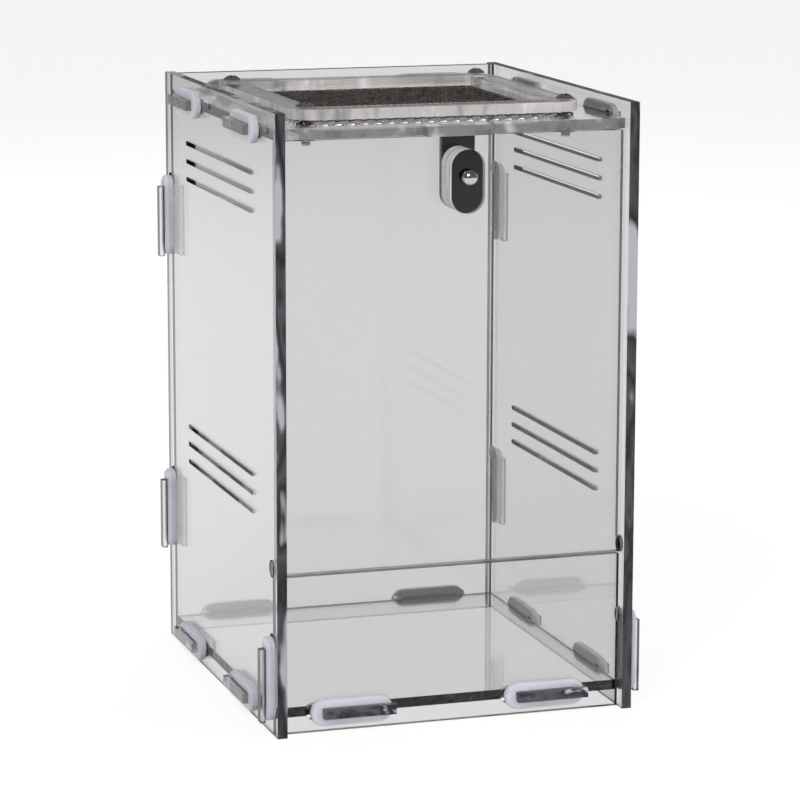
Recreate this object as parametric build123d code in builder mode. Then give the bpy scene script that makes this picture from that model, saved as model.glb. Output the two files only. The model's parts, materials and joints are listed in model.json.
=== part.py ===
"""Small reptile terrarium: clear sheets that hold each other by hooked tabs and silicone rings.

Millimetres. +Z is up and the door faces -Y. The origin is on the table, midway between the front
of the latch screw's head and the ends of the tabs that stand out of the back panel.
"""
import math
import os

from build123d import *

# --- Sheets and cabin ---
sheet = 3.0                 # thickness of every clear sheet
width = 110.0               # over the outer faces of the side panels
depth = 126.0               # of the side panels
height = 182.0              # of the side panels and the back panel
edge_inset = 4.0            # front and back panels, from the side panels' front and rear edges
floor_lift = 4.5            # underside of the floor, above the table
sill_height = 46.9          # upper edge of the front lower panel
top_drop = 5.0              # top panel's upper face, below the side panels' upper edges

# --- Tabs, their slots and the silicone rings ---
tab_neck = 18.0             # length of a tab along its sheet's edge, where it passes the slot
tab_reach = 4.0             # how far a tab stands out of the panel that it passes through
ear_length = 4.0            # hook at one end of the tab
slot_play = 0.1             # clearance on each side of a neck
slot_relief = 4.4           # extra length of a slot, which lets the ear through
relief_radius = 2.5         # round end of a slot
ring_length = 25.0
ring_width = 8.0
ring_thickness = 2.4        # fills the gap between the panel and the ear
ring_bevel = 0.6            # slope of a ring's outer rim

# --- Where the tabs are ---
back_tab_low = 43.2                 # lower tabs of the back panel in the side panels
back_tab_drop = 44.5                # upper ones, below the side panels' upper edges
front_tab_height = 17.0             # front lower panel in the side panels
floor_side_spacing = 60.0           # floor in the side panels
floor_front_spacing = 60.0          # floor in the front lower panel
floor_front_shift = -1.7
rear_spacing = 62.0                 # floor and top panel in the back panel
top_side_spacing = 65.0             # top panel in the side panels

# --- Vent slits of the side panels ---
vent_length = 75.0
vent_width = 1.4
vent_pitch = 5.57
vent_count = 3
vent_low = 67.8             # middle slit of the lower group
vent_drop = 25.2            # middle slit of the upper group, below the panel's upper edge

# --- Door and its pivots ---
door_side_gap = 0.5
door_sill_gap = 0.8
door_top_gap = 0.4
pivot_height = 4.0          # ear at each lower corner of the door
pivot_play = 0.08           # between the ear's corners and its round hole

# --- Lid: woven screen under a clear frame plate ---
lid_side = 89.0
lid_corner = 8.5
lid_shift_x = -1.0
lid_shift_y = -4.3          # from the middle of the cabin
frame_border = 8.0          # of the plate, round its window
window_corner = 3.0
opening_border = 1.5        # of the top panel, inside the window's edge
opening_corner = 5.0
screen_border = 2.5         # from the screen's edge to the plate's
screen_corner = 6.0
screen_thickness = 1.1
screen_gaps = 14            # in each direction
screen_bar = 1.4

# --- Fasteners ---
screw_radius = 1.5
screw_play = 0.1            # between a stem and the hole of a sheet
thread_play = 0.05          # between a stem and its nut
lid_screw_border = 4.75     # from a lid screw to the plate's edge
lid_screw_length = 10.5
lid_head_radius = 2.8
lid_head_height = 2.0
lid_head_rim = 0.6
nut_flats = 5.5
nut_height = 2.0
washer_radius = 3.5
washer_thickness = 0.5

# --- Latch: a stack of layers on a screw that slides up and down in the door ---
latch_drop = 20.3           # middle of the grip, below the side panels' upper edges
latch_screw_rise = 1.3      # screw above the grip's middle
latch_travel = 3.0
latch_play = 0.1            # between the latch and each face of the door
latch_head_radius = 2.45
latch_head_height = 3.4
latch_stem_tail = 1.0       # stem behind the nut
grip_length = 18.5
grip_width = 10.0
grip_layers = ("inner", "middle", "outer")
bolt_thickness = 2.0
bolt_gap = 0.3              # bolt's tip under the top panel, when the latch is down
keeper_width = 19.6         # tongue of the top panel over the bolt
keeper_reach = 4.0
keeper_play = 0.3           # around the bolt in the keeper's slot

# --- Planes that follow from these ---
latch_reach = latch_play + bolt_thickness + len(grip_layers) * sheet + latch_head_height
cabin_y = (latch_reach - tab_reach) / 2
inner_x = width / 2 - sheet
front_face = cabin_y - depth / 2 + edge_inset
front_inner = front_face + sheet
front_middle = front_face + sheet / 2
back_face = cabin_y + depth / 2 - edge_inset
back_inner = back_face - sheet
back_middle = back_face - sheet / 2
floor_middle = floor_lift + sheet / 2
top_upper = height - top_drop
top_under = top_upper - sheet
top_middle = top_upper - sheet / 2
top_middle_y = (front_face + back_inner) / 2
ear_thickness = tab_reach - ring_thickness
hole_radius = screw_radius + screw_play

# --- Places that follow from these ---
back_tab_heights = (back_tab_low, height - back_tab_drop)
vent_heights = (vent_low, height - vent_drop)
latch_height = height - latch_drop
window_side = lid_side - 2 * frame_border
opening_side = window_side - 2 * opening_border
screen_side = lid_side - 2 * screen_border
lid_screw_spacing = lid_side - 2 * lid_screw_border
floor_side_tabs = (cabin_y - floor_side_spacing / 2, cabin_y + floor_side_spacing / 2)
floor_front_tabs = (
    floor_front_shift - floor_front_spacing / 2,
    floor_front_shift + floor_front_spacing / 2,
)
rear_tabs = (-rear_spacing / 2, rear_spacing / 2)
top_side_tabs = (top_middle_y - top_side_spacing / 2, top_middle_y + top_side_spacing / 2)
door_bottom = sill_height + door_sill_gap
door_height = top_under - door_top_gap - door_bottom
pivot_z = door_bottom + pivot_height / 2
pivot_radius = math.hypot(sheet, pivot_height) / 2 + pivot_play
lid_x = lid_shift_x
lid_y = cabin_y + lid_shift_y
lid_under = top_upper + screen_thickness
lid_upper = lid_under + sheet
bolt_rear = front_face - latch_play
grip_rear = bolt_rear - bolt_thickness
grip_front = grip_rear - len(grip_layers) * sheet
grip_foot = latch_height - grip_length / 2 + grip_width / 2
bolt_top = top_under - bolt_gap
latch_screw_z = latch_height + latch_screw_rise
washer_front = front_inner + latch_play
nut_front = washer_front + washer_thickness
latch_screw_length = nut_front + nut_height + latch_stem_tail - grip_front

# Directions within a sheet's sketch, as angles from its first axis
TO_PLUS, UP, TO_MINUS, DOWN = 0, 90, 180, 270

os.makedirs("parts", exist_ok=True)


def upright(y):
    """Plane of a sheet that faces the front: X across, Z up, normal towards -Y."""
    return Plane.XZ.offset(-y)


def draw_tab(x, y, outward, ear_side):
    """Add a hooked tab to the sketch. (x, y) is the middle of its root on the sheet's edge."""
    with Locations(Location((x, y, 0), (0, 0, outward))):
        Rectangle(sheet + tab_reach, tab_neck, align=(Align.MIN, Align.CENTER))
        with Locations((sheet + ring_thickness, ear_side * tab_neck / 2)):
            Rectangle(ear_thickness, 2 * ear_length, align=(Align.MIN, Align.CENTER))


def cut_slot(x, y, relief):
    """Cut a tab's slot in the sketch. (x, y) is the neck's middle, relief the round end's side."""
    relief_centre = tab_neck / 2 + slot_relief - relief_radius
    slot_end = tab_neck / 2 + slot_play
    with Locations(Location((x, y, 0), (0, 0, relief))):
        with Locations((-slot_end, 0)):
            Rectangle(
                slot_end + relief_centre,
                sheet + 2 * slot_play,
                align=(Align.MIN, Align.CENTER),
                mode=Mode.SUBTRACT,
            )
        with Locations((relief_centre, 0)):
            Circle(relief_radius, mode=Mode.SUBTRACT)


def draw_ring(x, y, along):
    """Add a ring to the sketch, closed round a tab's neck."""
    with Locations(Location((x, y, 0), (0, 0, along))):
        SlotOverall(ring_length, ring_width)
        Rectangle(tab_neck, sheet, mode=Mode.SUBTRACT)


def rings(places, along, plane):
    """Silicone rings on a panel's outer face, one at each place, with a bevelled outer rim."""
    with BuildPart() as ring_group:
        with BuildSketch(plane):
            for x, y in places:
                draw_ring(x, y, along)
        extrude(amount=ring_thickness)
        outward = Axis(plane.origin, plane.z_dir)
        for face in ring_group.faces().group_by(outward)[-1]:
            chamfer(face.outer_wire().edges(), ring_bevel)
    return ring_group


def domed_screw(head_radius, head_height, head_rim, length):
    """Screw with a domed head above its XY plane and a plain stem below."""
    dome_height = head_height - head_rim
    dome_radius = (head_radius**2 + dome_height**2) / (2 * dome_height)
    half_span = math.degrees(math.asin(head_radius / dome_radius))
    with BuildPart() as screw:
        with BuildSketch(Plane.XZ):
            with BuildLine():
                dome = CenterArc((0, head_height - dome_radius), dome_radius, 90 - half_span, half_span)
                Polyline(
                    dome @ 0,
                    (head_radius, 0),
                    (screw_radius, 0),
                    (screw_radius, -length),
                    (0, -length),
                    dome @ 1,
                )
            make_face()
        revolve(axis=Axis.Z)
    return screw


# --- Side panels ---
for side_name, side in (("left", -1), ("right", 1)):
    with BuildPart() as side_panel:
        with BuildSketch(Plane.YZ.offset(side * inner_x)):
            with Locations((cabin_y, height / 2)):
                Rectangle(depth, height)
            for tab_z in back_tab_heights:
                cut_slot(back_middle, tab_z, UP)
            cut_slot(front_middle, front_tab_height, UP)
            for tab_y in floor_side_tabs:
                cut_slot(tab_y, floor_middle, TO_MINUS)
            for tab_y in top_side_tabs:
                cut_slot(tab_y, top_middle, TO_MINUS)
            with Locations((front_middle, pivot_z)):
                Circle(pivot_radius, mode=Mode.SUBTRACT)
            for vent_z in vent_heights:
                with Locations((cabin_y, vent_z)):
                    with GridLocations(0, vent_pitch, 1, vent_count):
                        SlotOverall(vent_length, vent_width, mode=Mode.SUBTRACT)
        extrude(amount=side * sheet)
    side_panel.part.label = f"{side_name}_side_panel"
    export_step(side_panel.part, f"parts/{side_name}_side_panel.step")

# --- Back panel ---
with BuildPart() as back_panel:
    with BuildSketch(upright(back_face)):
        with Locations((0, height / 2)):
            Rectangle(2 * inner_x, height)
        for tab_z in back_tab_heights:
            draw_tab(inner_x, tab_z, TO_PLUS, -1)
            draw_tab(-inner_x, tab_z, TO_MINUS, 1)
        for tab_x in rear_tabs:
            cut_slot(tab_x, floor_middle, TO_MINUS)
            cut_slot(tab_x, top_middle, TO_MINUS)
    extrude(amount=sheet)
back_panel.part.label = "back_panel"
export_step(back_panel.part, "parts/back_panel.step")

# --- Front lower panel ---
with BuildPart() as front_lower_panel:
    with BuildSketch(upright(front_inner)):
        with Locations((0, sill_height / 2)):
            Rectangle(2 * inner_x, sill_height)
        draw_tab(inner_x, front_tab_height, TO_PLUS, -1)
        draw_tab(-inner_x, front_tab_height, TO_MINUS, 1)
        for tab_x in floor_front_tabs:
            cut_slot(tab_x, floor_middle, TO_MINUS)
    extrude(amount=sheet)
front_lower_panel.part.label = "front_lower_panel"
export_step(front_lower_panel.part, "parts/front_lower_panel.step")

# --- Floor ---
with BuildPart() as floor_panel:
    with BuildSketch(Plane.XY.offset(floor_lift)):
        with Locations((0, cabin_y)):
            Rectangle(2 * inner_x, back_inner - front_inner)
        for tab_y in floor_side_tabs:
            draw_tab(inner_x, tab_y, TO_PLUS, 1)
            draw_tab(-inner_x, tab_y, TO_MINUS, -1)
        for tab_x in floor_front_tabs:
            draw_tab(tab_x, front_inner, DOWN, 1)
        for tab_x in rear_tabs:
            draw_tab(tab_x, back_inner, UP, -1)
    extrude(amount=sheet)
floor_panel.part.label = "floor_panel"
export_step(floor_panel.part, "parts/floor_panel.step")

# --- Top panel, with the keeper's tongue over the latch bolt ---
with BuildPart() as top_panel:
    with BuildSketch(Plane.XY.offset(top_under)):
        with Locations((0, top_middle_y)):
            Rectangle(2 * inner_x, back_inner - front_face)
        for tab_y in top_side_tabs:
            draw_tab(inner_x, tab_y, TO_PLUS, 1)
            draw_tab(-inner_x, tab_y, TO_MINUS, -1)
        for tab_x in rear_tabs:
            draw_tab(tab_x, back_inner, UP, -1)
        with Locations((0, front_face)):
            Rectangle(keeper_width, 2 * keeper_reach)
        with Locations((0, (bolt_rear + grip_rear) / 2)):
            Rectangle(
                grip_width + 2 * keeper_play,
                bolt_thickness + 2 * keeper_play,
                mode=Mode.SUBTRACT,
            )
        with Locations((lid_x, lid_y)):
            RectangleRounded(opening_side, opening_side, opening_corner, mode=Mode.SUBTRACT)
            with GridLocations(lid_screw_spacing, lid_screw_spacing, 2, 2):
                Circle(hole_radius, mode=Mode.SUBTRACT)
    extrude(amount=sheet)
top_panel.part.label = "top_panel"
export_step(top_panel.part, "parts/top_panel.step")

# --- Screen ---
screen_pitch = window_side / screen_gaps
with BuildPart() as mesh_screen:
    with BuildSketch(Plane.XY.offset(top_upper)):
        with Locations((lid_x, lid_y)):
            RectangleRounded(screen_side, screen_side, screen_corner)
            with GridLocations(screen_pitch, screen_pitch, screen_gaps, screen_gaps):
                Rectangle(screen_pitch - screen_bar, screen_pitch - screen_bar, mode=Mode.SUBTRACT)
            with GridLocations(lid_screw_spacing, lid_screw_spacing, 2, 2):
                Circle(hole_radius, mode=Mode.SUBTRACT)
    extrude(amount=screen_thickness)
mesh_screen.part.label = "mesh_screen"
export_step(mesh_screen.part, "parts/mesh_screen.step")

# --- Lid frame plate ---
with BuildPart() as lid_frame_plate:
    with BuildSketch(Plane.XY.offset(lid_under)):
        with Locations((lid_x, lid_y)):
            RectangleRounded(lid_side, lid_side, lid_corner)
            RectangleRounded(window_side, window_side, window_corner, mode=Mode.SUBTRACT)
            with GridLocations(lid_screw_spacing, lid_screw_spacing, 2, 2):
                Circle(hole_radius, mode=Mode.SUBTRACT)
    extrude(amount=sheet)
lid_frame_plate.part.label = "lid_frame_plate"
export_step(lid_frame_plate.part, "parts/lid_frame_plate.step")

# --- Lid screws, with their nuts under the top panel ---
lid_screw = domed_screw(lid_head_radius, lid_head_height, lid_head_rim, lid_screw_length)
with BuildPart() as lid_screws:
    with Locations((lid_x, lid_y, lid_upper)):
        with GridLocations(lid_screw_spacing, lid_screw_spacing, 2, 2):
            add(lid_screw.part)
lid_screws.part.label = "lid_screws"
export_step(lid_screws.part, "parts/lid_screws.step")

with BuildPart() as lid_nuts:
    with BuildSketch(Plane.XY.offset(top_under)):
        with Locations((lid_x, lid_y)):
            with GridLocations(lid_screw_spacing, lid_screw_spacing, 2, 2):
                RegularPolygon(nut_flats / 2, 6, major_radius=False)
                Circle(screw_radius + thread_play, mode=Mode.SUBTRACT)
    extrude(amount=-nut_height)
lid_nuts.part.label = "lid_nuts"
export_step(lid_nuts.part, "parts/lid_nuts.step")

# --- Door ---
with BuildPart() as door_panel:
    with BuildSketch(upright(front_inner)):
        with Locations((0, door_bottom)):
            Rectangle(2 * (inner_x - door_side_gap), door_height, align=(Align.CENTER, Align.MIN))
            Rectangle(width, pivot_height, align=(Align.CENTER, Align.MIN))
        with Locations((0, latch_screw_z + latch_travel / 2)):
            SlotCenterToCenter(latch_travel, 2 * hole_radius, rotation=90, mode=Mode.SUBTRACT)
    extrude(amount=sheet)
door_panel.part.label = "door_panel"
export_step(door_panel.part, "parts/door_panel.step")

# --- Latch bolt ---
with BuildPart() as latch_bolt:
    with BuildSketch(upright(bolt_rear)):
        with Locations((0, grip_foot)):
            Circle(grip_width / 2)
            Rectangle(grip_width, bolt_top - grip_foot, align=(Align.CENTER, Align.MIN))
        with Locations((0, latch_screw_z)):
            Circle(hole_radius, mode=Mode.SUBTRACT)
    extrude(amount=bolt_thickness)
latch_bolt.part.label = "latch_bolt"
export_step(latch_bolt.part, "parts/latch_bolt.step")

# --- Grip, in layers from the bolt outwards ---
for layer, layer_name in enumerate(grip_layers):
    with BuildPart() as grip:
        with BuildSketch(upright(grip_rear - layer * sheet)):
            with Locations((0, latch_height)):
                SlotOverall(grip_length, grip_width, rotation=90)
            with Locations((0, latch_screw_z)):
                Circle(hole_radius, mode=Mode.SUBTRACT)
        extrude(amount=sheet)
    grip.part.label = f"latch_grip_{layer_name}"
    export_step(grip.part, f"parts/latch_grip_{layer_name}.step")

# --- Latch screw, with its washer and nut behind the door ---
knob_rim = latch_head_height - latch_head_radius
knob_screw = domed_screw(latch_head_radius, latch_head_height, knob_rim, latch_screw_length)
with BuildPart() as latch_screw:
    with Locations(Plane((0, grip_front, latch_screw_z), x_dir=(1, 0, 0), z_dir=(0, -1, 0))):
        add(knob_screw.part)
latch_screw.part.label = "latch_screw"
export_step(latch_screw.part, "parts/latch_screw.step")

with BuildPart() as latch_washer:
    with BuildSketch(upright(nut_front)):
        with Locations((0, latch_screw_z)):
            Circle(washer_radius)
            Circle(hole_radius, mode=Mode.SUBTRACT)
    extrude(amount=washer_thickness)
latch_washer.part.label = "latch_washer"
export_step(latch_washer.part, "parts/latch_washer.step")

with BuildPart() as latch_nut:
    with BuildSketch(upright(nut_front + nut_height)):
        with Locations((0, latch_screw_z)):
            RegularPolygon(nut_flats / 2, 6, major_radius=False)
            Circle(screw_radius + thread_play, mode=Mode.SUBTRACT)
    extrude(amount=nut_height)
latch_nut.part.label = "latch_nut"
export_step(latch_nut.part, "parts/latch_nut.step")

# --- Silicone rings on the side panels ---
for side_name, side in (("left", -1), ("right", 1)):
    side_plane = Plane((side * width / 2, 0, 0), x_dir=(0, 1, 0), z_dir=(side, 0, 0))
    # Seen from outside the left panel, up on the sheet is down in the sketch
    up = side
    ring_rows = {
        "back": ([(back_middle, up * tab_z) for tab_z in back_tab_heights], UP),
        "front": ([(front_middle, up * front_tab_height)], UP),
        "floor": ([(tab_y, up * floor_middle) for tab_y in floor_side_tabs], TO_PLUS),
        "top": ([(tab_y, up * top_middle) for tab_y in top_side_tabs], TO_PLUS),
    }
    for row_name, (places, along) in ring_rows.items():
        side_rings = rings(places, along, side_plane)
        side_rings.part.label = f"{side_name}_{row_name}_rings"
        export_step(side_rings.part, f"parts/{side_name}_{row_name}_rings.step")

# --- Silicone rings on the front lower panel and the back panel ---
front_rings = rings([(tab_x, floor_middle) for tab_x in floor_front_tabs], TO_PLUS, upright(front_face))
front_rings.part.label = "front_floor_rings"
export_step(front_rings.part, "parts/front_floor_rings.step")

rear_plane = Plane((0, back_face, 0), x_dir=(-1, 0, 0), z_dir=(0, 1, 0))
for row_name, row_z in (("floor", floor_middle), ("top", top_middle)):
    back_rings = rings([(-tab_x, row_z) for tab_x in rear_tabs], TO_PLUS, rear_plane)
    back_rings.part.label = f"back_{row_name}_rings"
    export_step(back_rings.part, f"parts/back_{row_name}_rings.step")
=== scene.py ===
"""Reptile terrarium of clear sheets: finishes with painted reflection and shade on the sheets, woven
lid screen, fasteners and studio.
"""
import json
import math
from collections import namedtuple

import bmesh
import bpy
from bpy.props import FloatProperty, FloatVectorProperty, IntProperty, PointerProperty
from mathutils import Matrix, Vector


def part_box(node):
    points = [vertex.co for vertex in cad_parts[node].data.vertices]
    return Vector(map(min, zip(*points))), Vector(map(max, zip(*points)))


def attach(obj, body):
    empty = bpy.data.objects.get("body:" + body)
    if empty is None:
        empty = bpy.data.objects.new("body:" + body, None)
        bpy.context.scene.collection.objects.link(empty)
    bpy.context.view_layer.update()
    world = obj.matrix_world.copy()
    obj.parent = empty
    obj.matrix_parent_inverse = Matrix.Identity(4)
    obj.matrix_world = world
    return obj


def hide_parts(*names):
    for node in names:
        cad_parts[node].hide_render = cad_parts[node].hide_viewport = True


bl_info = {
    "name": "Reptile Terrarium",
    "version": (1, 0, 0),
    "blender": (4, 5, 0),
    "location": "3D View > Sidebar > Terrarium",
    "description": "Clear sheets, silicone rings, woven screen, latch and studio of a terrarium",
    "category": "Object",
}

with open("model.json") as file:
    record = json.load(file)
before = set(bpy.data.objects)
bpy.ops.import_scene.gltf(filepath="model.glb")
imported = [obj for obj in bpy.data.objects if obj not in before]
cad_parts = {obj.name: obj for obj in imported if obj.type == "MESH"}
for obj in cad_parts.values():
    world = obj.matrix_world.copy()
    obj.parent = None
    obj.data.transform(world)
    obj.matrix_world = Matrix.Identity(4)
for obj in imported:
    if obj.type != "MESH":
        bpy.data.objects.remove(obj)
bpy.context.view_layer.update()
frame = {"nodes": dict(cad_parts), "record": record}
NODES = frame["nodes"]
BODY_OF = {
    node: body
    for body, nodes in frame["record"]["behaviour"]["bodies"].items()
    for node in nodes
}

MM = 0.001

Sheet = namedtuple("Sheet", "nodes axis streaks frosted ends tint gloss alpha inner_alpha shine")

# Sheets: their nodes, the axis of their thickness, the streaks' scale along X, Y and Z in
# 1/m, whether all cut edges take the light tones, how far from X 0 the dark ones turn light, the
# tint and gloss of the faces, how solid the outer and inner cut edges are, and how bright the
# edge tones are. The edge tones and their streaks are painted reflection, light and shade, and
# the tint, set sheet by sheet, is painted shade
SHEETS = {
    "side_sheet": Sheet(
        ("left_side_panel", "right_side_panel"), "X", (80.0, 22.0, 22.0), False, 1.0,
        0.71, 0.2, 1.0, 1.0, 0.5,
    ),
    "wall_sheet": Sheet(
        ("back_panel", "front_lower_panel", "door_panel"), "Y", (60.0, 300.0, 9.0), False, 0.0551,
        0.77, 0.3, 1.0, 1.0, 0.1,
    ),
    "floor_sheet": Sheet(
        ("floor_panel",), "Z", (70.0, 70.0, 120.0), False, 0.0551, 0.86, 0.4, 1.0, 1.0, 0.8,
    ),
    "top_sheet": Sheet(
        ("top_panel",), "Z", (150.0, 150.0, 90.0), True, 1.0, 0.92, 0.15, 0.75, 0.12, 0.8,
    ),
    "plate_sheet": Sheet(
        ("lid_frame_plate",), "Z", (150.0, 150.0, 40.0), True, 1.0, 0.96, 0.12, 0.75, 0.12, 2.5,
    ),
}
# Latch grip: light painted edge tones at a high painted light level, and streaks across its three
# layers that mark the seams between them
GRIP = Sheet((), "Y", (60.0, 900.0, 60.0), True, 1.0, 0.97, 0.3, 0.8, 0.8, 2.6)

# Square round the lid's middle that holds every inner cut edge of the lid sheets
LID_X, LID_Y, LID_INNER = -0.0010, 0.00095, 0.0372

FACE_SHARE = 0.7            # of a normal along the sheet's axis, above which it is a face
WIRE_STEPS = 4              # of a wire's length between the wires that cross it
HEAD_RADIUS = 2.8 * MM      # lid screws
HEAD_RIM = 0.6 * MM
STEM_RADIUS = 1.5 * MM
RECESS_DEPTH = 0.8 * MM
STEEL_ROUNDING = 0.12 * MM  # edges of the other small steel pieces
FIRST_TURN, NEXT_TURN = 20.0, 35.0      # of the recesses, in degrees
THREAD_DEPTH = 0.55         # of the thread's pitch

# The camera that took the photograph
CAMERA_PLACE = (-0.3196, -0.99055, 0.2895)
CAMERA_YAW, CAMERA_TILT, CAMERA_ROLL = -17.92, 78.96, 0.136
CAMERA_SENSOR, CAMERA_LENS = 36.0, 156.07
GRIP_LAYERS = ("latch_grip_inner", "latch_grip_middle", "latch_grip_outer")
RING_NODES = tuple(sorted(node for node in NODES if node.endswith("_rings")))


# ---------------------------------------------------------------- settings

class TerrariumColoursAndPaintedLight(bpy.types.PropertyGroup):
    """Colours and surface of the terrarium's materials, among them the painted reflection and shade
    of the clear sheets' cut edges.
    """

    sheet_tint: FloatVectorProperty(
        name="Sheet tint", description="Colour cast of the clear sheets",
        subtype="COLOR", size=3, min=0.0, max=1.0, default=(1.0, 1.0, 1.0),
    )
    # Painted reflection and shade: the clear sheets' cut edges are coloured with these tones, dark
    # and silvery streaks for what the edges reflect, light tones where they catch light
    edge_dark: FloatVectorProperty(
        name="Edge, dark", description="Dark streaks in a sheet's cut edges",
        subtype="COLOR", size=3, min=0.0, max=1.0, default=(0.006, 0.007, 0.010),
    )
    edge_middle: FloatVectorProperty(
        name="Edge, middle", description="Main tone of a sheet's cut edges",
        subtype="COLOR", size=3, min=0.0, max=1.0, default=(0.085, 0.09, 0.105),
    )
    edge_light: FloatVectorProperty(
        name="Edge, light", description="Silvery streaks in a sheet's cut edges",
        subtype="COLOR", size=3, min=0.0, max=1.0, default=(0.60, 0.60, 0.66),
    )
    # Painted light: main tone of the cut edges that catch light
    edge_painted_light: FloatVectorProperty(
        name="Edge, frosted", description="Main tone of the light cut edges",
        subtype="COLOR", size=3, min=0.0, max=1.0, default=(0.24, 0.228, 0.225),
    )
    edge_shade: FloatVectorProperty(
        name="Edge, shaded", description="Darker streaks in the light cut edges",
        subtype="COLOR", size=3, min=0.0, max=1.0, default=(0.10, 0.098, 0.10),
    )
    silicone: FloatVectorProperty(
        name="Silicone", description="Milky colour of the rings",
        subtype="COLOR", size=3, min=0.0, max=1.0, default=(0.86, 0.87, 0.97),
    )
    wire: FloatVectorProperty(
        name="Wire", description="Colour of the woven screen's wires",
        subtype="COLOR", size=3, min=0.0, max=1.0, default=(0.085, 0.074, 0.066),
    )
    steel: FloatVectorProperty(
        name="Steel", description="Colour of screws, nuts and washer",
        subtype="COLOR", size=3, min=0.0, max=1.0, default=(0.56, 0.54, 0.52),
    )
    bolt: FloatVectorProperty(
        name="Bolt", description="Colour of the latch bolt",
        subtype="COLOR", size=3, min=0.0, max=1.0, default=(0.003, 0.003, 0.004),
    )


class TerrariumSizes(bpy.types.PropertyGroup):
    """Sizes of the detail that the solids leave out."""

    wire_pitch: FloatProperty(
        name="Wire pitch", description="From one wire of the screen to the next",
        subtype="DISTANCE", unit="LENGTH", default=2.0 * MM, min=0.5 * MM,
    )
    wire_sides: IntProperty(
        name="Wire sides", description="Facets round a wire", default=5, min=3, max=12,
    )
    thread_pitch: FloatProperty(
        name="Thread pitch", description="From one thread crest to the next",
        subtype="DISTANCE", unit="LENGTH", default=0.5 * MM, min=0.1 * MM,
    )
    rim_round: FloatProperty(
        name="Ring rounding", description="Rounding of a silicone ring's rims",
        subtype="DISTANCE", unit="LENGTH", default=0.35 * MM, min=0.0,
    )
    recess_length: FloatProperty(
        name="Recess length", description="Across the cross recess of a screw head",
        subtype="DISTANCE", unit="LENGTH", default=3.0 * MM, min=0.5 * MM,
    )
    recess_width: FloatProperty(
        name="Recess width", description="Width of one arm of the cross recess",
        subtype="DISTANCE", unit="LENGTH", default=0.75 * MM, min=0.1 * MM,
    )


# ---------------------------------------------------------------- materials

def new_material(name):
    """A node material with only its output, and the tree to build it in."""
    material = bpy.data.materials.new(name)
    material.use_nodes = True
    tree = material.node_tree
    tree.nodes.clear()
    output = tree.nodes.new("ShaderNodeOutputMaterial")
    return material, tree, output


def add_node(tree, kind, **sockets):
    """A node of that kind, with inputs set by name."""
    node = tree.nodes.new(kind)
    for name, value in sockets.items():
        node.inputs[name.replace("_", " ")].default_value = value
    return node


def shader(tree, colour, roughness, **sockets):
    """A Principled shader."""
    node = add_node(tree, "ShaderNodeBsdfPrincipled", **sockets)
    node.inputs["Base Color"].default_value = (*colour, 1.0)
    node.inputs["Roughness"].default_value = roughness
    return node


def object_pattern(tree, scale, noise_scale=1.0, detail=2.0):
    """Noise on Object coordinates, stretched by scale, in 1/m."""
    place = tree.nodes.new("ShaderNodeTexCoord")
    mapping = add_node(tree, "ShaderNodeMapping", Scale=scale)
    noise = add_node(tree, "ShaderNodeTexNoise", Scale=noise_scale, Detail=detail)
    tree.links.new(place.outputs["Object"], mapping.inputs["Vector"])
    tree.links.new(mapping.outputs["Vector"], noise.inputs["Vector"])
    return noise.outputs["Fac"]


def ramp(tree, source, stops):
    """Colour ramp with (position, colour) stops."""
    node = tree.nodes.new("ShaderNodeValToRGB")
    elements = node.color_ramp.elements
    while len(elements) < len(stops):
        elements.new(1.0)
    for element, (position, colour) in zip(elements, stops):
        element.position = position
        element.color = (*colour, 1.0)
    tree.links.new(source, node.inputs["Fac"])
    return node.outputs["Color"]


def bump(tree, source, strength, distance, *shaders):
    """Bump the shaders' surface by a pattern."""
    node = add_node(tree, "ShaderNodeBump", Strength=strength, Distance=distance)
    tree.links.new(source, node.inputs["Height"])
    for target in shaders:
        tree.links.new(node.outputs["Normal"], target.inputs["Normal"])


def edge_tones(look, shine):
    """Ramps of painted reflection and shade for cut edges: dark mirror-like ones and light ones,
    scaled by the sheet's painted light level.
    """
    dark = [
        (0.38, look.edge_light), (0.42, look.edge_dark), (0.50, look.edge_middle),
        (0.56, look.edge_dark), (0.61, look.edge_middle), (0.65, look.edge_light),
    ]
    light = [
        (0.28, look.edge_shade), (0.45, look.edge_painted_light),
        (0.58, look.edge_painted_light), (0.72, look.edge_light),
    ]
    return [
        [(stop, [min(1.0, value * shine) for value in colour]) for stop, colour in stops]
        for stops in (dark, light)
    ]


def calculate(tree, operation, *inputs):
    """A Math node on sockets and plain values."""
    node = tree.nodes.new("ShaderNodeMath")
    node.operation = operation
    for socket, value in zip(node.inputs, inputs):
        if isinstance(value, float):
            socket.default_value = value
        else:
            tree.links.new(value, socket)
    return node.outputs["Value"]


def parts_of(tree, vector):
    """X, Y and Z of a vector socket."""
    split = tree.nodes.new("ShaderNodeSeparateXYZ")
    tree.links.new(vector, split.inputs["Vector"])
    return split.outputs


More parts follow.
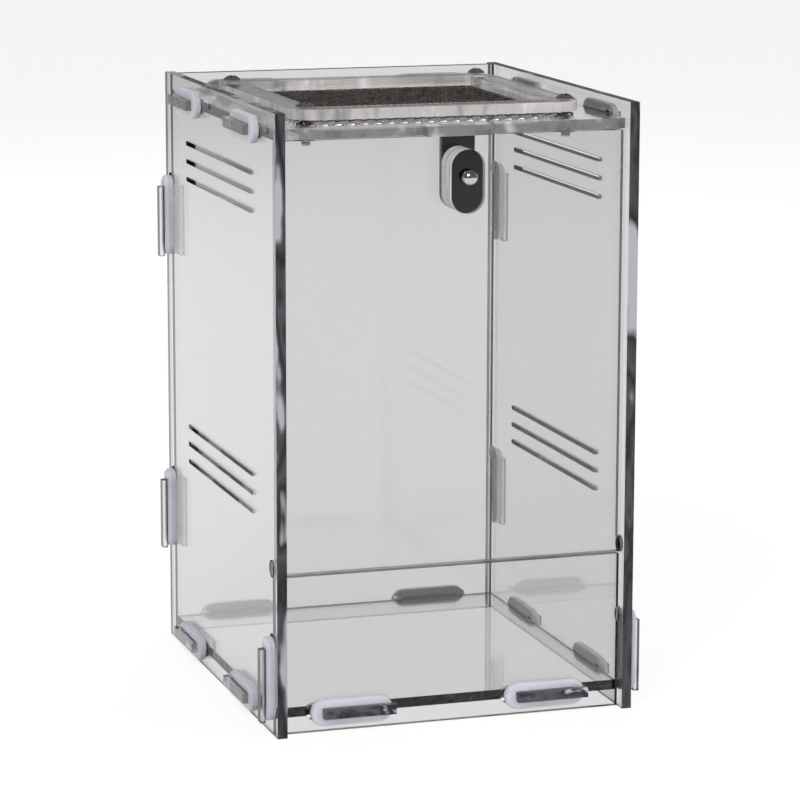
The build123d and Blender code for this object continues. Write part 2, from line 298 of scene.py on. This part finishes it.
def clear_acrylic(look, name, sheet):
    """Clear sheet: see-through faces across its thickness, darkened by a painted shade set sheet by
    sheet, and streaky cut edges with painted reflection, light and shade.
    """
    material, tree, output = new_material(f"clear_{name}")
    # Painted shade: the faces are darkened by the sheet's own grey tint
    tint = [value * sheet.tint for value in look.sheet_tint]
    face = shader(tree, tint, 0.0, IOR=1.49, Transmission_Weight=1.0, Specular_IOR_Level=sheet.gloss)
    edge = shader(tree, look.edge_middle, 0.16, IOR=1.49, Specular_IOR_Level=0.3)
    place = tree.nodes.new("ShaderNodeTexCoord")
    at = parts_of(tree, place.outputs["Object"])
    pattern = object_pattern(tree, sheet.streaks, detail=3.0)
    dark, light = edge_tones(look, sheet.shine)

    # Painted reflection and shade on the cut edges: dark tones near X 0, light tones beyond the
    # sheet's limit, and light tones all round where a sheet has all its edges light
    reach = calculate(tree, "ABSOLUTE", at["X"])
    limit = 0.0 if sheet.frosted else sheet.ends
    tones = tree.nodes.new("ShaderNodeMix")
    tones.data_type = "RGBA"
    tree.links.new(calculate(tree, "GREATER_THAN", reach, limit), tones.inputs["Factor"])
    tree.links.new(ramp(tree, pattern, dark), tones.inputs["A"])
    tree.links.new(ramp(tree, pattern, light), tones.inputs["B"])
    tree.links.new(tones.outputs["Result"], edge.inputs["Base Color"])

    if sheet.alpha == sheet.inner_alpha:
        edge.inputs["Alpha"].default_value = sheet.alpha
    else:
        off_x = calculate(tree, "ABSOLUTE", calculate(tree, "SUBTRACT", at["X"], LID_X))
        off_y = calculate(tree, "ABSOLUTE", calculate(tree, "SUBTRACT", at["Y"], LID_Y))
        outer = calculate(tree, "GREATER_THAN", calculate(tree, "MAXIMUM", off_x, off_y), LID_INNER)
        step = sheet.alpha - sheet.inner_alpha
        tree.links.new(
            calculate(tree, "MULTIPLY_ADD", outer, step, sheet.inner_alpha), edge.inputs["Alpha"]
        )

    facing = calculate(tree, "ABSOLUTE", parts_of(tree, place.outputs["Normal"])[sheet.axis])
    choose = tree.nodes.new("ShaderNodeMixShader")
    tree.links.new(calculate(tree, "GREATER_THAN", facing, FACE_SHARE), choose.inputs["Fac"])
    tree.links.new(edge.outputs["BSDF"], choose.inputs[1])
    tree.links.new(face.outputs["BSDF"], choose.inputs[2])
    tree.links.new(choose.outputs["Shader"], output.inputs["Surface"])
    return material


def silicone_rubber(look):
    """Milky translucent silicone with a satin, slightly uneven skin."""
    material, tree, output = new_material("milky_silicone")
    skin = shader(tree, look.silicone, 0.32, IOR=1.41, Transmission_Weight=0.5)
    skin.inputs["Subsurface Weight"].default_value = 0.3
    skin.inputs["Subsurface Radius"].default_value = (1.0, 1.0, 1.1)
    skin.inputs["Subsurface Scale"].default_value = 1.5 * MM
    cloud = object_pattern(tree, (90.0, 90.0, 90.0), detail=4.0)
    darker = [value * 0.86 for value in look.silicone]
    tone = ramp(tree, cloud, [(0.3, darker), (0.7, look.silicone)])
    tree.links.new(tone, skin.inputs["Base Color"])
    grain = object_pattern(tree, (2500.0, 2500.0, 2500.0))
    bump(tree, grain, 0.08, 0.05 * MM, skin)
    tree.links.new(skin.outputs["BSDF"], output.inputs["Surface"])
    return material


def polished_steel(look):
    """Bright steel with faint turning marks, and darker patches at random spots that are painted
    dark reflections.
    """
    material, tree, output = new_material("polished_steel")
    metal = shader(tree, look.steel, 0.09, Metallic=1.0)
    # Painted dark reflections: noise darkens the steel in patches
    dark_reflection_noise = object_pattern(tree, (700.0, 700.0, 700.0), detail=4.0)
    darker = [value * 0.7 for value in look.steel]
    tone = ramp(tree, dark_reflection_noise, [(0.35, darker), (0.6, look.steel)])
    tree.links.new(tone, metal.inputs["Base Color"])
    marks = object_pattern(tree, (600.0, 600.0, 6000.0))
    bump(tree, marks, 0.06, 0.02 * MM, metal)
    tree.links.new(metal.outputs["BSDF"], output.inputs["Surface"])
    return material


def dull_wire(look):
    """Drawn wire, brown-grey and dull."""
    material, tree, output = new_material("woven_wire")
    metal = shader(tree, look.wire, 0.45, Metallic=0.75)
    drawn = object_pattern(tree, (300.0, 300.0, 300.0), detail=4.0)
    darker = [value * 0.45 for value in look.wire]
    lighter = [min(1.0, value * 1.5) for value in look.wire]
    tone = ramp(tree, drawn, [(0.35, darker), (0.5, look.wire), (0.7, lighter)])
    tree.links.new(tone, metal.inputs["Base Color"])
    bump(tree, drawn, 0.1, 0.05 * MM, metal)
    tree.links.new(metal.outputs["BSDF"], output.inputs["Surface"])
    return material


def black_acrylic(look):
    """Glossy black sheet with faint polishing haze."""
    material, tree, output = new_material("black_acrylic")
    sheet = shader(tree, look.bolt, 0.06, IOR=1.49)
    haze = object_pattern(tree, (200.0, 200.0, 200.0), detail=5.0)
    lighter = [value * 3.0 for value in look.bolt]
    tone = ramp(tree, haze, [(0.45, look.bolt), (0.75, lighter)])
    tree.links.new(tone, sheet.inputs["Base Color"])
    tree.links.new(sheet.outputs["BSDF"], output.inputs["Surface"])
    return material


def paint(piece, material):
    """The material takes the place of everything in the piece's slots."""
    if not piece.material_slots:
        piece.data.materials.append(material)
    for slot in piece.material_slots:
        slot.material = material


# ---------------------------------------------------------------- modelling helpers

def deselect_all():
    """Leave edit mode with nothing selected."""
    if bpy.context.mode != "OBJECT":
        bpy.ops.object.mode_set(mode="OBJECT")
    bpy.ops.object.select_all(action="DESELECT")


def make_active(piece):
    """Select only this piece."""
    deselect_all()
    piece.select_set(True)
    bpy.context.view_layer.objects.active = piece


def name_piece(piece, name):
    """Name the piece and its mesh."""
    piece.name = name
    piece.data.name = name
    return piece


def settle(piece):
    """Put the piece's place into its mesh, so that its object stands at the origin."""
    make_active(piece)
    bpy.ops.object.transform_apply(location=True, rotation=True, scale=True)


def apply_all(piece):
    """Apply the piece's modifiers in order."""
    make_active(piece)
    for modifier in list(piece.modifiers):
        bpy.ops.object.modifier_apply(modifier=modifier.name)


def smooth(piece, degrees=35.0):
    """Shade smooth, apart from edges sharper than this."""
    make_active(piece)
    bpy.ops.object.shade_smooth_by_angle(angle=math.radians(degrees))


def join(pieces, name):
    """One piece of several meshes."""
    deselect_all()
    for piece in pieces:
        piece.select_set(True)
    bpy.context.view_layer.objects.active = pieces[0]
    bpy.ops.object.join()
    return name_piece(bpy.context.object, name)


def copy_of_node(node, name):
    """A merged copy of a CAD node's mesh, with flat faces made whole again."""
    source = NODES[node]
    piece = bpy.data.objects.new(name, source.data.copy())
    piece.data.name = name
    bpy.context.scene.collection.objects.link(piece)
    make_active(piece)
    bpy.ops.object.mode_set(mode="EDIT")
    bpy.ops.mesh.select_all(action="SELECT")
    bpy.ops.mesh.remove_doubles(threshold=0.002 * MM)
    bpy.ops.mesh.dissolve_limited(angle_limit=math.radians(1.0))
    bpy.ops.object.mode_set(mode="OBJECT")
    return piece


def round_rims(piece, radius, segments=3, degrees=30.0):
    """Round the piece's sharp edges."""
    modifier = piece.modifiers.new("Rims", "BEVEL")
    modifier.width = radius
    modifier.segments = segments
    modifier.limit_method = "ANGLE"
    modifier.angle_limit = math.radians(degrees)
    apply_all(piece)
    smooth(piece)


def dress(piece, node, material):
    """The piece takes a CAD node's place and body, and the material in its own slots; the node is
    hidden.
    """
    paint(piece, material)
    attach(piece, BODY_OF[node])
    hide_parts(node)


# ---------------------------------------------------------------- operators

class TERRARIUM_OT_sheets(bpy.types.Operator):
    """Finish the clear sheets, with painted shade on their faces and painted reflection and shade on
    their cut edges
    """

    bl_idname = "terrarium.sheets"
    bl_label = "Clear Sheets"

    def execute(self, context):
        look = context.scene.terrarium_finish
        for name, sheet in SHEETS.items():
            material = clear_acrylic(look, name, sheet)
            for node in sheet.nodes:
                paint(NODES[node], material)
        return {"FINISHED"}


class TERRARIUM_OT_rings(bpy.types.Operator):
    """Make the silicone rings on the tabs"""

    bl_idname = "terrarium.rings"
    bl_label = "Silicone Rings"

    def execute(self, context):
        look = context.scene.terrarium_finish
        sizes = context.scene.terrarium_sizes
        material = silicone_rubber(look)
        for node in RING_NODES:
            piece = copy_of_node(node, f"silicone_{node}")
            round_rims(piece, sizes.rim_round)
            dress(piece, node, material)
        return {"FINISHED"}


def wire_unit(pitch, radius, sides):
    """Two wires along X over two cells, which wave against each other."""
    deselect_all()
    bpy.ops.mesh.primitive_cylinder_add(
        vertices=sides, radius=radius, depth=2 * pitch, end_fill_type="NOTHING",
        location=(0.0, 0.0, 0.0), rotation=(0.0, math.pi / 2, 0.0),
    )
    wire = bpy.context.object
    settle(wire)
    bpy.ops.object.mode_set(mode="EDIT")
    bpy.ops.mesh.select_all(action="DESELECT")
    mesh = bmesh.from_edit_mesh(wire.data)
    for edge in mesh.edges:
        start, end = edge.verts
        edge.select_set(abs(start.co.x - end.co.x) > pitch)
    bmesh.update_edit_mesh(wire.data)
    bpy.ops.mesh.subdivide(number_cuts=2 * WIRE_STEPS - 1)
    bpy.ops.object.mode_set(mode="OBJECT")
    twin = bpy.data.objects.new("wire_twin", wire.data.copy())
    bpy.context.scene.collection.objects.link(twin)
    for piece, sign, side in ((wire, 1.0, -pitch / 2), (twin, -1.0, pitch / 2)):
        for vertex in piece.data.vertices:
            vertex.co.z += sign * radius * math.cos(math.pi * vertex.co.x / pitch)
            vertex.co.y += side
    return join([wire, twin], "wire_unit")


class TERRARIUM_OT_screen(bpy.types.Operator):
    """Weave the lid's wire screen"""

    bl_idname = "terrarium.screen"
    bl_label = "Woven Screen"

    def execute(self, context):
        look = context.scene.terrarium_finish
        sizes = context.scene.terrarium_sizes
        low, high = (Vector(corner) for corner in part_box("mesh_screen"))
        middle = (low + high) / 2
        span = high - low
        pitch = sizes.wire_pitch
        radius = span.z / 4
        pairs = round((span.x - 2 * radius) / pitch) // 2
        directions = []
        for turn in (0.0, math.pi / 2):
            unit = wire_unit(pitch, radius, sizes.wire_sides)
            for axis in (0, 1):
                array = unit.modifiers.new("Array", "ARRAY")
                array.use_relative_offset = False
                array.use_constant_offset = True
                array.constant_offset_displace = [
                    2 * pitch * (axis == 0), 2 * pitch * (axis == 1), 0.0,
                ]
                array.count = pairs
                array.use_merge_vertices = axis == 0
                array.merge_threshold = 0.01 * MM
            apply_all(unit)
            for vertex in unit.data.vertices:
                vertex.co.x -= (pairs - 1) * pitch
                vertex.co.y -= (pairs - 1) * pitch
            unit.rotation_euler.z = turn
            unit.location = middle
            settle(unit)
            directions.append(unit)
        screen = join(directions, "woven_screen")
        smooth(screen, 80.0)
        dress(screen, "mesh_screen", dull_wire(look))
        return {"FINISHED"}


def threaded_stem(radius, length, pitch):
    """A stem below the origin with rows of thread crests."""
    turns = int(length / pitch)
    deselect_all()
    bpy.ops.mesh.primitive_cylinder_add(
        vertices=24, radius=radius, depth=length, location=(0.0, 0.0, -length / 2),
    )
    stem = bpy.context.object
    settle(stem)
    bpy.ops.object.mode_set(mode="EDIT")
    bpy.ops.mesh.select_all(action="DESELECT")
    mesh = bmesh.from_edit_mesh(stem.data)
    for edge in mesh.edges:
        start, end = edge.verts
        edge.select_set(abs(start.co.z - end.co.z) > length / 2)
    bmesh.update_edit_mesh(stem.data)
    bpy.ops.mesh.subdivide(number_cuts=2 * turns - 1)
    bpy.ops.object.mode_set(mode="OBJECT")
    step = length / (2 * turns)
    depth = THREAD_DEPTH * pitch
    for vertex in stem.data.vertices:
        row = round(-vertex.co.z / step)
        if row % 2 or row == 2 * turns:
            vertex.co.x *= (radius - depth) / radius
            vertex.co.y *= (radius - depth) / radius
    return stem


def domed_head(radius, height, rim):
    """Screw head on the origin's plane: a short rim under a spherical cap."""
    cap = height - rim
    ball = (radius**2 + cap**2) / (2 * cap)
    deselect_all()
    bpy.ops.mesh.primitive_uv_sphere_add(
        segments=48, ring_count=64, radius=ball, location=(0.0, 0.0, height - ball),
    )
    head = bpy.context.object
    settle(head)
    bpy.ops.object.mode_set(mode="EDIT")
    bpy.ops.mesh.select_all(action="SELECT")
    bpy.ops.mesh.bisect(
        plane_co=(0.0, 0.0, rim), plane_no=(0.0, 0.0, 1.0), use_fill=True, clear_inner=True,
    )
    bpy.ops.mesh.select_all(action="DESELECT")
    mesh = bmesh.from_edit_mesh(head.data)
    for face in mesh.faces:
        face.select_set(face.normal.z < -0.9 and len(face.verts) > 4)
    bmesh.update_edit_mesh(head.data)
    bpy.ops.mesh.extrude_region_move(TRANSFORM_OT_translate={"value": (0.0, 0.0, -rim)})
    bpy.ops.mesh.select_all(action="SELECT")
    bpy.ops.mesh.normals_make_consistent(inside=False)
    bpy.ops.object.mode_set(mode="OBJECT")
    return head


def cross_recess(head, length, width, depth, top):
    """Cut a cross recess into the top of a head."""
    arms = []
    for x, y in ((length, width), (width, length)):
        deselect_all()
        bpy.ops.mesh.primitive_cube_add(size=1.0, location=(0.0, 0.0, top))
        arm = bpy.context.object
        arm.scale = (x, y, 2 * depth)
        settle(arm)
        arms.append(arm)
    for arm in arms:
        cut = head.modifiers.new("Recess", "BOOLEAN")
        cut.operation = "DIFFERENCE"
        cut.solver = "EXACT"
        cut.object = arm
    apply_all(head)
    for arm in arms:
        mesh = arm.data
        bpy.data.objects.remove(arm)
        bpy.data.meshes.remove(mesh)


class TERRARIUM_OT_screws(bpy.types.Operator):
    """Make the lid screws with cross recesses and threads"""

    bl_idname = "terrarium.screws"
    bl_label = "Lid Screws"

    def execute(self, context):
        look = context.scene.terrarium_finish
        sizes = context.scene.terrarium_sizes
        low, high = (Vector(corner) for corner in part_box("lid_screws"))
        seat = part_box("lid_frame_plate")[1][2]
        head_height = high.z - seat
        stem_length = seat - low.z
        head = domed_head(HEAD_RADIUS, head_height, HEAD_RIM)
        cross_recess(head, sizes.recess_length, sizes.recess_width, RECESS_DEPTH, head_height)
        stem = threaded_stem(STEM_RADIUS, stem_length, sizes.thread_pitch)
        screw = join([head, stem], "lid_screw")
        smooth(screw, 30.0)
        places = [
            (x, y)
            for x in (low.x + HEAD_RADIUS, high.x - HEAD_RADIUS)
            for y in (low.y + HEAD_RADIUS, high.y - HEAD_RADIUS)
        ]
        copies = []
        for count, (x, y) in enumerate(places):
            copy = bpy.data.objects.new(f"lid_screw_{count}", screw.data.copy())
            context.scene.collection.objects.link(copy)
            copy.rotation_euler.z = math.radians(FIRST_TURN + NEXT_TURN * count)
            copy.location = (x, y, seat)
            settle(copy)
            copies.append(copy)
        mesh = screw.data
        bpy.data.objects.remove(screw)
        bpy.data.meshes.remove(mesh)
        screws = join(copies, "lid_screws_steel")
        dress(screws, "lid_screws", polished_steel(look))
        return {"FINISHED"}


class TERRARIUM_OT_small_steel(bpy.types.Operator):
    """Finish the nuts, the washer and the latch screw"""

    bl_idname = "terrarium.small_steel"
    bl_label = "Nuts and Latch Screw"

    def execute(self, context):
        look = context.scene.terrarium_finish
        material = polished_steel(look)
        for node in ("lid_nuts", "latch_nut", "latch_washer", "latch_screw"):
            piece = copy_of_node(node, f"steel_{node}")
            round_rims(piece, STEEL_ROUNDING, segments=2, degrees=40.0)
            dress(piece, node, material)
        return {"FINISHED"}


class TERRARIUM_OT_latch(bpy.types.Operator):
    """Finish the latch's grip, with painted light on its cut edges, and its bolt"""

    bl_idname = "terrarium.latch"
    bl_label = "Latch"

    def execute(self, context):
        look = context.scene.terrarium_finish
        clear = clear_acrylic(look, "grip", GRIP)
        for node in GRIP_LAYERS:
            paint(NODES[node], clear)
        paint(NODES["latch_bolt"], black_acrylic(look))
        return {"FINISHED"}


def area_light(name, location, target, size, power, mirrored):
    """A soft square lamp aimed at a point, which mirrors show or not."""
    deselect_all()
    bpy.ops.object.light_add(type="AREA", location=location)
    lamp = bpy.context.object
    lamp.name = name
    lamp.data.size = size
    lamp.data.energy = power
    lamp.visible_glossy = mirrored
    aim = Vector(target) - Vector(location)
    lamp.rotation_euler = aim.to_track_quat("-Z", "Y").to_euler()
    return lamp


def seen_white(tree):
    """1 for camera and transmission rays, 0 for the rest."""
    path = tree.nodes.new("ShaderNodeLightPath")
    either = tree.nodes.new("ShaderNodeMath")
    either.operation = "MAXIMUM"
    tree.links.new(path.outputs["Is Camera Ray"], either.inputs[0])
    tree.links.new(path.outputs["Is Transmission Ray"], either.inputs[1])
    return either.outputs["Value"]


class TERRARIUM_OT_stage(bpy.types.Operator):
    """Set the floor, the light and the camera"""

    bl_idname = "terrarium.stage"
    bl_label = "Studio"

    def execute(self, context):
        scene = context.scene
        scene.view_settings.view_transform = "Standard"

        world = bpy.data.worlds.new("studio")
        scene.world = world
        world.use_nodes = True
        tree = world.node_tree
        tree.nodes.clear()
        output = tree.nodes.new("ShaderNodeOutputWorld")
        soft = add_node(tree, "ShaderNodeBackground", Color=(1.0, 1.0, 1.0, 1.0))
        path = tree.nodes.new("ShaderNodeLightPath")
        dimmed = calculate(tree, "MULTIPLY_ADD", path.outputs["Is Glossy Ray"], -0.2, 0.38)
        tree.links.new(dimmed, soft.inputs["Strength"])
        white = add_node(tree, "ShaderNodeBackground", Color=(1.0, 1.0, 1.0, 1.0), Strength=1.0)
        choose = tree.nodes.new("ShaderNodeMixShader")
        tree.links.new(seen_white(tree), choose.inputs["Fac"])
        tree.links.new(soft.outputs["Background"], choose.inputs[1])
        tree.links.new(white.outputs["Background"], choose.inputs[2])
        tree.links.new(choose.outputs["Shader"], output.inputs["Surface"])

        deselect_all()
        bpy.ops.mesh.primitive_plane_add(size=8.0, location=(0.0, 0.0, -0.05 * MM))
        floor = name_piece(context.object, "studio_floor")
        settle(floor)
        material, tree, output = new_material("white_floor")
        matt = shader(tree, (0.92, 0.92, 0.92), 0.9)
        glow = add_node(tree, "ShaderNodeEmission", Color=(1.0, 1.0, 1.0, 1.0), Strength=1.0)
        share = tree.nodes.new("ShaderNodeMath")
        share.operation = "MULTIPLY"
        share.inputs[1].default_value = 0.86
        choose = tree.nodes.new("ShaderNodeMixShader")
        tree.links.new(seen_white(tree), share.inputs[0])
        tree.links.new(share.outputs["Value"], choose.inputs["Fac"])
        tree.links.new(matt.outputs["BSDF"], choose.inputs[1])
        tree.links.new(glow.outputs["Emission"], choose.inputs[2])
        tree.links.new(choose.outputs["Shader"], output.inputs["Surface"])
        paint(floor, material)

        middle = (0.0, 0.0, 0.09)
        area_light("key_light", (-0.7, -0.9, 1.1), middle, 0.45, 16.0, True)
        area_light("fill_light", (0.9, -0.7, 0.7), middle, 0.8, 9.0, False)
        area_light("rear_light", (0.1, 1.0, 0.9), middle, 0.9, 10.0, False)

        bpy.ops.object.camera_add(location=CAMERA_PLACE)
        camera = context.object
        camera.name = "photo_camera"
        turned = (
            Matrix.Rotation(math.radians(CAMERA_YAW), 3, "Z")
            @ Matrix.Rotation(math.radians(CAMERA_TILT), 3, "X")
            @ Matrix.Rotation(math.radians(CAMERA_ROLL), 3, "Z")
        )
        camera.rotation_euler = turned.to_euler()
        camera.data.sensor_width = CAMERA_SENSOR
        camera.data.lens = CAMERA_LENS
        camera.data.clip_start = 0.01
        camera.data.clip_end = 50.0
        scene.camera = camera
        return {"FINISHED"}


class TERRARIUM_PT_panel(bpy.types.Panel):
    """Lists the terrarium's sizes, finishes (painted edge reflection and shade among them) and steps
    """

    bl_idname = "TERRARIUM_PT_panel"
    bl_label = "Terrarium"
    bl_space_type = "VIEW_3D"
    bl_region_type = "UI"
    bl_category = "Terrarium"

    def draw(self, context):
        layout = self.layout
        for group in (context.scene.terrarium_sizes, context.scene.terrarium_finish):
            box = layout.box()
            for name in group.__annotations__:
                box.prop(group, name)
        for step in STEPS:
            layout.operator(step.bl_idname)


STEPS = (
    TERRARIUM_OT_stage,
    TERRARIUM_OT_sheets,
    TERRARIUM_OT_rings,
    TERRARIUM_OT_screen,
    TERRARIUM_OT_screws,
    TERRARIUM_OT_small_steel,
    TERRARIUM_OT_latch,
)
CLASSES = (TerrariumColoursAndPaintedLight, TerrariumSizes, *STEPS, TERRARIUM_PT_panel)


def register():
    for cls in CLASSES:
        bpy.utils.register_class(cls)
    bpy.types.Scene.terrarium_finish = PointerProperty(type=TerrariumColoursAndPaintedLight)
    bpy.types.Scene.terrarium_sizes = PointerProperty(type=TerrariumSizes)


def unregister():
    del bpy.types.Scene.terrarium_sizes
    del bpy.types.Scene.terrarium_finish
    for cls in reversed(CLASSES):
        bpy.utils.unregister_class(cls)


def main():
    register()
    bpy.ops.terrarium.stage()
    bpy.ops.terrarium.sheets()
    bpy.ops.terrarium.rings()
    bpy.ops.terrarium.screen()
    bpy.ops.terrarium.screws()
    bpy.ops.terrarium.small_steel()
    bpy.ops.terrarium.latch()


if __name__ == "__main__":
    main()
